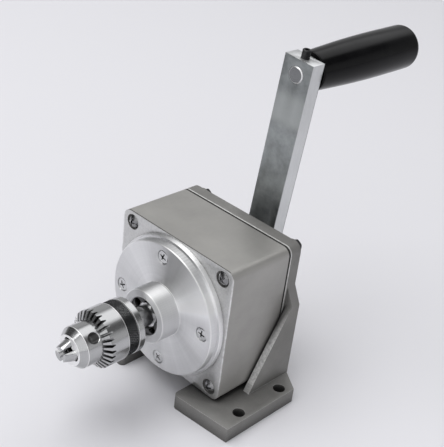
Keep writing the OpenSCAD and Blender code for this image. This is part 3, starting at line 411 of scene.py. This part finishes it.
# the turned finishes: colour, roughness, strength of the sheen and pitch of the tool marks, and the edges
# given painted highlights, as radii (rings) or places along Y from the housing's front (cuts), each with its
# half width
turnedFaces = {
    "turnedAluminium": {
        "colour": (0.80, 0.803, 0.81), "rough": 0.45, "grain": 0.9,
        "rings": ((flangeRim - 2.1 * mm, 0.2 * mm), (flangeRim - 0.15 * mm, 0.12 * mm),
                  (16.35 * mm, 0.15 * mm), (15.85 * mm, 0.15 * mm)),
        # painted sheen: lighter and darker sectors as painted reflections; the angle from +X upwards, the half
        # angle and the gain
        "paintedSheenFans": ((33, 14, 1.35), (76, 17, 0.5), (-70, 30, 1.08), (120, 25, 1.1)),
        # the hub in front of the flange: where it starts, its gain, and how much duller it is
        "hub": (-8.6 * mm, -8.2 * mm), "hubGain": 1.05, "hubDull": 0.2,
    },
    "chuckBright": {
        "colour": (0.52, 0.523, 0.527), "rough": 0.14, "grain": 0.4, "pitch": 0.22 * mm,
        "cuts": ((-66.9 * mm, 0.12 * mm), (-36.1 * mm, 0.1 * mm), (-31.9 * mm, 0.1 * mm),
                 (-43.8 * mm, 0.1 * mm), (-70.75 * mm, 0.08 * mm)),
        # painted shade in corners; key holes' bottoms painted dark as shade, within these radii and behind
        # these places
        "cornerShadeReach": 3.5 * mm, "holeShadeColour": (0.22, 0.22, 0.22),
        "holeRadius": (10.6 * mm, 11.1 * mm), "holeFront": (-66.4 * mm, -66.2 * mm),
    },
    "studSteel": {
        "colour": (0.22, 0.225, 0.23), "rough": 0.3, "grain": 0.5, "axis": (handleX, handleZ),
        "rings": ((studRim - 0.35 * mm, 0.35 * mm),),
    },
}


def waverAndPaintedSheen(f, parts, paintedSheenFans):
    # one, with a slow waver round the axis, and in each painted sheen sector its gain less one, fading towards
    # the sector's sides
    turn = f.math("ARCTAN2", parts[2], parts[0])
    around = f.add("CombineXYZ", X=f.times(turn, 3.0), Y=parts[1]).outputs[0]
    waver = f.noise(1.2, 3, 0.6, where=around)
    tone = f.plus(1.0, f.ranged(waver, 0.3, 0.7, -0.06, 0.06))
    for at, half, gain in paintedSheenFans:
        start, end = math.radians(half) * 0.2, math.radians(half) * 1.6
        sector = f.ranged(f.away(turn, math.radians(at)), start, end, gain - 1, 0, "SMOOTHSTEP")
        tone = f.plus(tone, sector)
    return tone


def turnedMetal(name, face):
    # fine rings cut by the turning tool, wavy a little, with a sheen across them
    colour, rough = face["colour"], face["rough"]
    f = Finish(name, Metallic=0.95, Anisotropic=face["grain"], Anisotropic_Rotation=0.25)
    length, parts, flat = f.fromAxis(*face.get("axis", (axisX, axisZ)))
    wave = f.noise(35, 3, 0.6)
    outwards = f.add("CombineXYZ", X=length, Y=parts[1]).outputs[0]
    marks = f.noise(1 / face.get("pitch", 0.3 * mm), 2.0, 0.7, where=outwards)
    skin = f.mixed(f.times(marks, 0.5), colour, tuple(c * 0.8 for c in colour))
    shine = f.plus(f.ranged(marks, 0.2, 0.8, rough * 0.8, rough * 1.2), f.ranged(wave, 0.3, 0.7, -0.03, 0.03))
    if "paintedSheenFans" in face:
        start, end = face["hub"]
        onHub = f.ranged(parts[1], frontY + start, frontY + end, 1, 0)
        # painted sheen: fan shaped lighter and darker sectors, a painted reflection
        tone = waverAndPaintedSheen(f, parts, face["paintedSheenFans"])
        skin = f.shaded(skin, f.ranged(onHub, 0, 1, tone, face["hubGain"]))
        shine = f.plus(shine, f.times(onHub, face["hubDull"]))
    # painted highlights on the edges at the rings and cuts
    bright = f.most(*(f.line(length, at, half) for at, half in face.get("rings", ())),
                    *(f.line(parts[1], frontY + at, half) for at, half in face.get("cuts", ())))
    skin = f.mixed(bright, skin, (0.97, 0.97, 0.97))
    # painted shade in the corners, and a dark colour painted on the key holes' bottoms as shade
    if "cornerShadeReach" in face:
        start, end = face["holeFront"]
        hollow = f.times(f.ranged(length, *face["holeRadius"], 1, 0),
                         f.ranged(parts[1], frontY + start, frontY + end))
        skin = f.mixed(hollow, f.shaded(skin, f.recess(face["cornerShadeReach"])), face["holeShadeColour"])
    f.put("Base Color", skin)
    f.put("Roughness", f.ranged(bright, 0, 1, shine, 0.5))
    f.turned(flat)
    f.bump((marks, 0.012 * mm))
    return f.material


# machined and plated steels, brass and bronze; cornerShadeReach is how far the painted shade in a corner
# reaches
plainMetals = {
    "turnedSteel": {"colour": (0.42, 0.425, 0.43), "rough": 0.3},
    "bearingSteel": {"colour": (0.62, 0.625, 0.63), "rough": 0.18},
    "gearSteel": {"colour": (0.35, 0.36, 0.37), "rough": 0.35},
    "neckSteel": {"colour": (0.74, 0.745, 0.75), "rough": 0.3},
    "zincScrew": {"colour": (0.66, 0.665, 0.67), "rough": 0.16, "cornerShadeReach": 1.2 * mm},
    "darkScrew": {"colour": (0.30, 0.30, 0.305), "rough": 0.2, "cornerShadeReach": 1.2 * mm},
    "darkNut": {"colour": (0.055, 0.055, 0.057), "rough": 0.35},
    "darkRing": {"colour": (0.10, 0.10, 0.102), "rough": 0.35},
    "blackScrew": {"colour": (0.03, 0.03, 0.032), "rough": 0.35, "metal": 0.6},
    "cageBrass": {"colour": (0.30, 0.27, 0.23), "rough": 0.3},
    "bushBronze": {"colour": (0.48, 0.31, 0.14), "rough": 0.36},
}


def plainMetal(name, colour, rough, metal=1.0, cornerShadeReach=0):
    # a machined surface whose tone is uneven by about a quarter
    f = Finish(name, Metallic=metal)
    fine = f.noise(1500, 3, 0.6)
    broad = f.noise(120, 3, 0.6)
    both = f.plus(f.times(fine, 0.5), f.times(broad, 0.5))
    skin = f.colours(both, (0.35, tuple(c * 0.76 for c in colour)), (0.65, colour))
    # painted shade in corners, such as a screw's cross recess
    f.put("Base Color", f.shaded(skin, f.recess(cornerShadeReach)) if cornerShadeReach else skin)
    f.put("Roughness", f.ranged(both, 0.3, 0.7, rough * 0.8, rough * 1.25))
    f.bump((fine, 0.01 * mm))
    return f.material


barSkin = {
    # the wide faces' clouds from dark to light, and a pale band across them below the handle as a painted
    # reflection
    "clouds": ((0.34, (0.13, 0.145, 0.155)), (0.46, (0.22, 0.235, 0.235)), (0.68, (0.40, 0.425, 0.43))),
    "pale": (0.44, 0.46, 0.455), "paleDrop": 21 * mm, "paleReach": (5 * mm, 14 * mm), "paleShare": 0.75,
    # the narrow sides, painted much lighter than the wide faces as painted light, and the lines drawn along the
    # bar
    "sides": ((0.3, (0.66, 0.67, 0.675)), (0.72, (0.78, 0.79, 0.80))),
    "drawn": (0.36, 0.37, 0.37), "drawnShare": 0.25, "drawnDepth": 0.02 * mm,
    "metal": 0.8, "rough": (0.3, 0.45),
}


def zincBar():
    # zinc plated flat bar: bluish grey with soft darker clouds and drawn lines along it, a painted reflection
    # band, and narrow sides painted lighter as painted light
    f = Finish("zincBar", Metallic=barSkin["metal"])
    low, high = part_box("crank_arm")
    lean = math.atan2(handleX, handleZ - axisZ)
    along = f.add("Mapping", {"vector_type": "POINT"}, Vector=f.place, Rotation=(0, lean, 0)).outputs[0]
    drawn = f.noise(900, 3, 0.6, where=along, stretch=(1, 1, 0.04))
    cloud = f.noise(34, 5, 0.66, where=along)
    parts = f.split()
    fromBand = f.away(parts[2], handleZ - barSkin["paleDrop"])
    pale = f.ranged(fromBand, *barSkin["paleReach"], 1, 0, "SMOOTHSTEP")
    onWide = f.most(f.ranged(parts[1], low.y + 0.2 * mm, low.y + 0.6 * mm, 1, 0),
                    f.ranged(parts[1], high.y - 0.6 * mm, high.y - 0.2 * mm))
    clouds = f.colours(cloud, *barSkin["clouds"])
    # a painted reflection: a pale band across the wide faces below the handle
    wide = f.mixed(f.times(pale, barSkin["paleShare"]), clouds, barSkin["pale"])
    # the narrow sides painted lighter than the wide faces, as painted light
    skin = f.mixed(onWide, f.colours(cloud, *barSkin["sides"]), wide)
    f.put("Base Color", f.mixed(f.times(drawn, barSkin["drawnShare"]), skin, barSkin["drawn"]))
    f.put("Roughness", f.ranged(cloud, 0.25, 0.75, *barSkin["rough"]))
    f.bump((drawn, barSkin["drawnDepth"]), (f.noise(2200, 2, 0.5), 0.01 * mm))
    return f.material


gripSkin = {"dark": (0.003, 0.003, 0.0035), "light": (0.006, 0.006, 0.0065), "rough": (0.12, 0.22),
            "shine": 0.12, "peel": 420, "peelDepth": 0.02 * mm}


def blackGrip():
    # glossy black moulded grip with a faint orange peel
    f = Finish("blackGrip", Specular_IOR_Level=gripSkin["shine"])
    f.put("Roughness", f.ranged(f.noise(60, 3, 0.6), 0.3, 0.7, *gripSkin["rough"]))
    f.put("Base Color", f.colours(f.noise(90, 3, 0.5), (0.3, gripSkin["dark"]), (0.7, gripSkin["light"])))
    f.bump((f.noise(gripSkin["peel"], 2, 0.5), gripSkin["peelDepth"]))
    return f.material


# dull black rubbers: colour, roughness and level of the shine
rubbers = {
    "gasketBlack": ((0.012, 0.012, 0.013), 0.7, 0.5),
    "knurledBlack": ((0.007, 0.0075, 0.0085), 0.45, 0.06),
}


def rubberBlack(name):
    colour, rough, shine = rubbers[name]
    f = Finish(name, Roughness=rough, Specular_IOR_Level=shine)
    fine = f.noise(1400, 3, 0.6)
    dark, light = tuple(c * 0.7 for c in colour), tuple(c * 1.3 for c in colour)
    f.put("Base Color", f.colours(fine, (0.3, dark), (0.7, light)))
    f.bump((fine, 0.03 * mm))
    return f.material


def setMaterial(piece, material):
    if not piece.data.materials:
        piece.data.materials.append(material)
    for i in range(len(piece.data.materials)):
        piece.data.materials[i] = material


def numbered(name, count):
    return tuple(f"{name}_{i}" for i in range(1, count + 1))


# which pieces wear which finish; all others are of plain turned steel
dressed = {
    "castGrey": ("base_bracket",),
    "housingMetal": ("gear_housing",),
    "gasketBlack": ("housing_gasket",),
    "turnedAluminium": ("front_flange",),
    "chuckBright": ("chuck_body", "chuck_sleeve", *numbered("chuck_jaw", 3)),
    "darkRing": ("bearing_retainer",),
    "neckSteel": ("spindle",),
    "bearingSteel": ("front_bearing_outer", "front_bearing_inner", "rear_bearing_outer", "rear_bearing_inner"),
    "cageBrass": ("front_bearing_balls", "rear_bearing_balls"),
    "gearSteel": ("spindle_gear", "lay_gear_front", "lay_gear_rear", "crank_gear"),
    "bushBronze": ("lay_bush_front", "lay_bush_rear", "crank_bush_front", "crank_bush_rear"),
    "zincBar": ("crank_arm",),
    "zincScrew": (*numbered("flange_screw", 4), "handle_washer", "crank_washer", "handle_nut"),
    "studSteel": ("handle_stud",),
    "darkScrew": numbered("corner_bolt", 4),
    "darkNut": numbered("corner_nut", 4),
    "blackScrew": ("crank_set_screw", "handle_set_screw", "spindle_circlip", "crank_circlip"),
    "blackGrip": ("handle_grip", "grip_plug"),
}


def dressNodes():
    finishes = {name: plainMetal(name, **values) for name, values in plainMetals.items()}
    finishes.update({name: turnedMetal(name, face) for name, face in turnedFaces.items()})
    finishes.update({name: rubberBlack(name) for name in rubbers})
    finishes.update(castGrey=castGrey(), housingMetal=housingMetal(), zincBar=zincBar(), blackGrip=blackGrip())
    for node in nodes.values():
        setMaterial(node, finishes["turnedSteel"])
    for finish, names in dressed.items():
        for name in names:
            setMaterial(nodes[name], finishes[finish])
    return finishes


def finishMesh(mesh, sharp):
    # closes seams and poles, turns the faces outwards and keeps edges over the given angle sharp
    work = bmesh.new()
    work.from_mesh(mesh)
    bmesh.ops.remove_doubles(work, verts=work.verts, dist=2e-6)
    bmesh.ops.dissolve_degenerate(work, edges=work.edges, dist=1e-7)
    bmesh.ops.recalc_face_normals(work, faces=work.faces)
    work.to_mesh(mesh)
    work.free()
    mesh.shade_smooth()
    mesh.set_sharp_from_angle(angle=math.radians(sharp))


def surface(name, points, body, material, sharp):
    # a grid of points, rows by columns, closed round its columns
    rows, cols, _ = points.shape
    mesh = bpy.data.meshes.new(name)
    i, j = np.meshgrid(np.arange(rows - 1), np.arange(cols), indexing="ij")
    k = (j + 1) % cols
    faces = np.stack([i * cols + j, i * cols + k, (i + 1) * cols + k, (i + 1) * cols + j], -1).reshape(-1, 4)
    mesh.from_pydata(points.reshape(-1, 3).tolist(), [], faces.tolist())
    finishMesh(mesh, sharp)
    piece = bpy.data.objects.new(name, mesh)
    bpy.context.scene.collection.objects.link(piece)
    mesh.materials.append(material)
    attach(piece, body)
    return piece


def angles(count):
    return np.arange(count) * 2 * math.pi / count


def roundAxis(radius, along, angle, origin, axis):
    # radius, distance along the axis and angle, as arrays, to points about a line from origin
    axis = np.array(axis, float)
    side = np.cross(axis, (0, 1, 0)) if abs(axis[1]) < 0.9 else np.array((1.0, 0, 0))
    side = side / np.linalg.norm(side)
    up = np.cross(axis, side)
    flat = (radius * np.cos(angle))[..., None] * side + (radius * np.sin(angle))[..., None] * up
    return np.array(origin, float) + flat + along[..., None] * axis


def lathe(rows, angle, origin, axis):
    # rows of a radius and a distance along the axis, each a number or an array round it, to a grid of points
    radius = np.array([np.broadcast_to(r, len(angle)) for r, _ in rows])
    along = np.array([np.broadcast_to(h, len(angle)) for _, h in rows])
    return roundAxis(radius, along, angle[None, :], origin, axis)


def hexagonRadius(flat, angle):
    # distance from the middle to the sides of a hexagon with its corners at multiples of 60 degrees
    return flat / np.cos(angle % math.radians(60) - math.radians(30))


# lengths as shares of the head's radius; narrow is the share of its width that an arm keeps at its end,
# and slope the share of its depth that it loses there
crossRecess = {"arm": 0.62, "halfWidth": 0.15, "narrow": 0.55,
               "sideWall": 0.035, "endWall": 0.05, "slope": 0.75}


def crossDepth(radius, angle, headR, turn, depth):
    # depth of a cross recess: four arms that narrow outwards and slope down to the middle
    x, y = radius * np.cos(angle - turn), radius * np.sin(angle - turn)
    far, near = np.maximum(abs(x), abs(y)) / headR, np.minimum(abs(x), abs(y)) / headR
    arm = crossRecess["arm"]
    width = crossRecess["halfWidth"] * (1 - (1 - crossRecess["narrow"]) * far / arm)
    wall = np.clip((width - near) / crossRecess["sideWall"], 0, 1)
    wall = wall * np.clip((arm - far) / crossRecess["endWall"], 0, 1)
    return headR * depth * wall * (1 - crossRecess["slope"] * (far / arm) ** 1.5)


thread = {"pitch": 0.7 * mm, "depth": 0.3 * mm, "rowsPerTurn": 8}


def threadRows(start, end):
    # places along a threaded run
    return np.linspace(start, end, max(2, int((end - start) / thread["pitch"] * thread["rowsPerTurn"])))


def threadDepth(along, angle, fade):
    # a rounded groove that climbs one pitch a turn: a cosine wave of the place along less the angle
    wave = 0.5 - 0.5 * np.cos(2 * math.pi * along / thread["pitch"] - angle)
    return thread["depth"] * wave ** 0.8 * fade


screws = {
    "flange_screw": {
        "finish": "zincScrew", "slot": "zinc_screw", "headHeight": 2.2 * mm, "dome": 0.35 * mm,
        "bevel": 0.5 * mm, "shankR": 1.98 * mm, "recess": 0.42, "threaded": 0, "turns": (20, 65, 38, 5),
    },
    "corner_bolt": {
        "finish": "darkScrew", "slot": "dark_screw", "headHeight": 2.6 * mm, "dome": 2.0 * mm,
        "bevel": 0.35 * mm, "shankR": 2.0 * mm, "recess": 0.26, "threaded": 9 * mm, "turns": (10, 40, 75, 25),
    },
}
roundCols = 72    # columns round a screw or nut


def addScrew(node, screw, turn, material):
    # a screw along Y from its head's middle: the head falls back by the dome times the square of the radius
    # and by the recess, and then come the rim, the shank and a thread on the last stretch
    low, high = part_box(node)
    headR = (high.x - low.x) / 2
    length = high.y - low.y
    dome, bevel, shankR = screw["dome"], screw["bevel"], screw["shankR"]
    angle = angles(roundCols)
    top = np.linspace(0, headR - bevel, 30)
    recess = crossDepth(top[:, None], angle[None, :], headR, math.radians(turn), screw["recess"])
    rows = list(zip(top, (dome * (top / headR) ** 2)[:, None] + recess))
    rows += [(headR - bevel * 0.3, dome + bevel * 0.25), (headR, dome + bevel),
             (headR, screw["headHeight"]), (shankR, screw["headHeight"])]
    endR = shankR
    if screw["threaded"]:
        start = length - screw["threaded"]
        rows.append((shankR, start))
        for h in threadRows(start, length - 0.4 * mm):
            rows.append((shankR - threadDepth(h, angle, min(1, (h - start) / (1.5 * mm))), h))
        endR = shankR * 0.75
    rows += [(endR, length), (0, length)]
    origin = ((low.x + high.x) / 2, low.y, (low.z + high.z) / 2)
    points = lathe(rows, angle, origin, (0, 1, 0))
    piece = surface(node + "_turned", points, "base", material, 32)
    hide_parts(node)


def addScrews(finishes):
    for i in range(4):
        for name, screw in screws.items():
            addScrew(f"{name}_{i + 1}", screw, screw["turns"][i], finishes[screw["finish"]])


nut = {"bore": 2.02 * mm, "mouth": 2.35 * mm, "mouthDepth": 0.3 * mm, "coneStart": 0.985, "coneSlope": 1.75}


def addNuts(material):
    # hexagon with its flats to the sides and a corner up, both ends turned to a cone: the radius is the
    # lesser of the hexagon's and the cone's
    angle = angles(roundCols)
    steps = np.concatenate([np.linspace(0, 0.22, 6), np.linspace(0.3, 0.7, 3), np.linspace(0.78, 1, 6)])
    for node in numbered("corner_nut", 4):
        low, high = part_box(node)
        height = high.y - low.y
        flat = (high.x - low.x) / 2
        hexagon = np.roll(hexagonRadius(flat, angle), roundCols // 12)    # turned by 30 degrees
        rows = [(nut["bore"], 0)]
        for t in steps:
            cone = flat * nut["coneStart"] + min(t, 1 - t) * height * nut["coneSlope"]
            rows.append((np.minimum(hexagon, cone), t * height))
        rows += [(nut["mouth"], height), (nut["bore"], height - nut["mouthDepth"]), (nut["bore"], 0)]
        origin = ((low.x + high.x) / 2, low.y, (low.z + high.z) / 2)
        points = lathe(rows, angle, origin, (0, 1, 0))
        piece = surface(node + "_turned", points, "base", material, 28)
        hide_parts(node)


grip = {"cols": 128, "neckR": 11.2 * mm, "fullR": 13.3 * mm, "endR": 5.0 * mm, "fullAt": 0.66, "lip": 0.8 * mm,
        "bore": 4.05 * mm, "plugR": 6.6 * mm, "plugDepth": 14 * mm, "plugBevel": 0.3 * mm}


def addGrip(material):
    # radius swells as the sine of a quarter turn up to fullAt of the length, and ends in a quarter round
    low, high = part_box("handle_grip")
    length = high.y - low.y
    quarter = math.pi / 2
    swellLength = length * grip["fullAt"] - grip["lip"]
    lip = [(grip["neckR"] - grip["lip"] * (1 - math.sin(t)), grip["lip"] * (1 - math.cos(t)))
           for t in np.linspace(0, quarter, 6)]
    swell = [(grip["neckR"] + (grip["fullR"] - grip["neckR"]) * math.sin(t * quarter),
              grip["lip"] + swellLength * t) for t in np.linspace(0, 1, 40)]
    end = [(grip["fullR"] - grip["endR"] * (1 - math.cos(t)), length - grip["endR"] * (1 - math.sin(t)))
           for t in np.linspace(0, quarter, 16)]
    bottom = length - grip["plugDepth"]
    rows = [(grip["bore"], bottom), (grip["bore"], 0.0)] + lip + swell[1:] + end
    rows += [(grip["plugR"] + grip["plugBevel"], length), (grip["plugR"], length - grip["plugBevel"]),
             (grip["plugR"], bottom), (grip["bore"], bottom)]
    points = lathe(rows, angles(grip["cols"]), (handleX, low.y, handleZ), (0, 1, 0))
    piece = surface("handle_grip_shell", points, "grip", material, 35)
    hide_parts("handle_grip")


knurl = {"outerR": 15.6 * mm, "width": 7.3 * mm, "sunk": 0.02 * mm, "depth": 0.3 * mm,
         "around": 96, "colsPerRidge": 8, "turns": 3, "rise": 0.16 * mm, "rows": 40, "edge": 0.5 * mm}


def triangleWave(turn):
    return abs((turn / (2 * math.pi)) % 1 - 0.5) * 2


def addKnurledBand(material):
    # two families of ridges cross on the band: the height is the lesser of two triangle waves, and fades
    # to nothing at both edges
    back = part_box("chuck_sleeve")[1].y
    front = back - knurl["width"]
    cols = knurl["around"] * knurl["colsPerRidge"]
    angle = angles(cols)
    along = np.linspace(front + 0.05 * mm, back - 0.05 * mm, knurl["rows"])
    across = angle[None, :] * knurl["around"]
    slant = 2 * math.pi * knurl["turns"] * (along[:, None] - front) / (back - front)
    ridge = np.minimum(triangleWave(across + slant), triangleWave(across - slant))
    fade = np.clip(np.minimum(along - front, back - along) / knurl["edge"], 0, 1)[:, None]
    root = np.full((1, cols), knurl["outerR"] - knurl["depth"])
    radius = np.vstack([root, knurl["outerR"] - knurl["sunk"] + knurl["rise"] * ridge * fade, root])
    along = np.repeat(np.concatenate([[front], along, [back]])[:, None], cols, 1)
    points = roundAxis(radius, along, angle[None, :], (axisX, 0, axisZ), (0, 1, 0))
    surface("knurled_band", points, "sleeve", material, 60)


setScrew = {"radius": 2.5 * mm, "bevel": 0.35 * mm, "hexR": 1.5 * mm, "hexDepth": 2.4 * mm,
            "hexMouth": 0.15 * mm, "hexBevel": 0.12 * mm}


def addSetScrew(node, material, outward):
    # a threaded pin along the arm with a hexagon socket in its outer end
    low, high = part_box(node)
    middle = np.array([(low.x + high.x) / 2, (low.y + high.y) / 2, (low.z + high.z) / 2])
    arm = np.array([handleX - axisX, 0, handleZ - axisZ])
    arm = arm / np.linalg.norm(arm) * outward
    radius, bevel = setScrew["radius"], setScrew["bevel"]
    length = ((high.z - low.z) - 2 * radius * abs(arm[0])) / abs(arm[2])
    angle = angles(roundCols)
    socket = hexagonRadius(setScrew["hexR"] * math.cos(math.radians(30)), angle)
    rows = [(0, -setScrew["hexDepth"] * 1.15), (socket, -setScrew["hexDepth"]), (socket, -setScrew["hexMouth"]),
            (socket + setScrew["hexBevel"], 0), (radius - bevel, 0), (radius, -bevel)]
    for h in threadRows(bevel, length - bevel):
        rows.append((radius - threadDepth(h, angle, min(1, (h - bevel) / (0.5 * mm))), -h))
    rows += [(radius - bevel, -length), (0, -length)]
    points = lathe(rows, angle, middle + arm * length / 2, arm)
    piece = surface(node + "_threaded", points, "crank", material, 30)
    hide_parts(node)


# width of the rounding, its segments, and the slot
roundings = {
    "base_bracket": (0.8 * mm, 3, "cast_grey"),
    "gear_housing": (0.45 * mm, 3, "cast_grey"),
    "front_flange": (0.12 * mm, 2, "turned_aluminium"),
    "crank_arm": (0.35 * mm, 2, "zinc_plated_bar"),
}
roundedOver = 38    # edges sharper than this, in degrees, are rounded


def roundedCopy(node, width, segments):
    # the CAD solid again, its flat faces joined up and its sharp edges rounded
    source = nodes[node]
    piece = source.copy()
    piece.data = source.data.copy()
    piece.name = node + "_rounded"
    for key in list(piece.keys()):
        del piece[key]
    piece.parent = None
    bpy.context.scene.collection.objects.link(piece)
    work = bmesh.new()
    work.from_mesh(piece.data)
    bmesh.ops.remove_doubles(work, verts=work.verts, dist=1e-6)
    bmesh.ops.dissolve_limit(work, angle_limit=math.radians(0.6), verts=work.verts, edges=work.edges)
    bmesh.ops.recalc_face_normals(work, faces=work.faces)
    sharp = [e for e in work.edges
             if len(e.link_faces) == 2 and e.calc_face_angle() > math.radians(roundedOver)]
    bmesh.ops.bevel(work, geom=sharp, offset=width, offset_type="OFFSET", segments=segments, profile=0.5,
                    affect="EDGES", clamp_overlap=True)
    bmesh.ops.triangulate(work, faces=[f for f in work.faces if len(f.verts) > 4])
    work.to_mesh(piece.data)
    work.free()
    piece.data.shade_smooth()
    piece.data.set_sharp_from_angle(angle=math.radians(34))
    body = source["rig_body"]
    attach(piece, body)
    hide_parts(node)
    return piece


addCamera()
addStudio()
print("camera, light and floor set")
finishes = dressNodes()
print("materials given")
addScrews(finishes)
addNuts(finishes["darkNut"])
addGrip(finishes["blackGrip"])
addKnurledBand(finishes["knurledBlack"])
addSetScrew("handle_set_screw", finishes["blackScrew"], 1)
addSetScrew("crank_set_screw", finishes["blackScrew"], -1)
print("screws, nuts, grip and band made")
for name, (width, segments, slotName) in roundings.items():
    roundedCopy(name, width, segments)
print("cast and milled edges rounded")
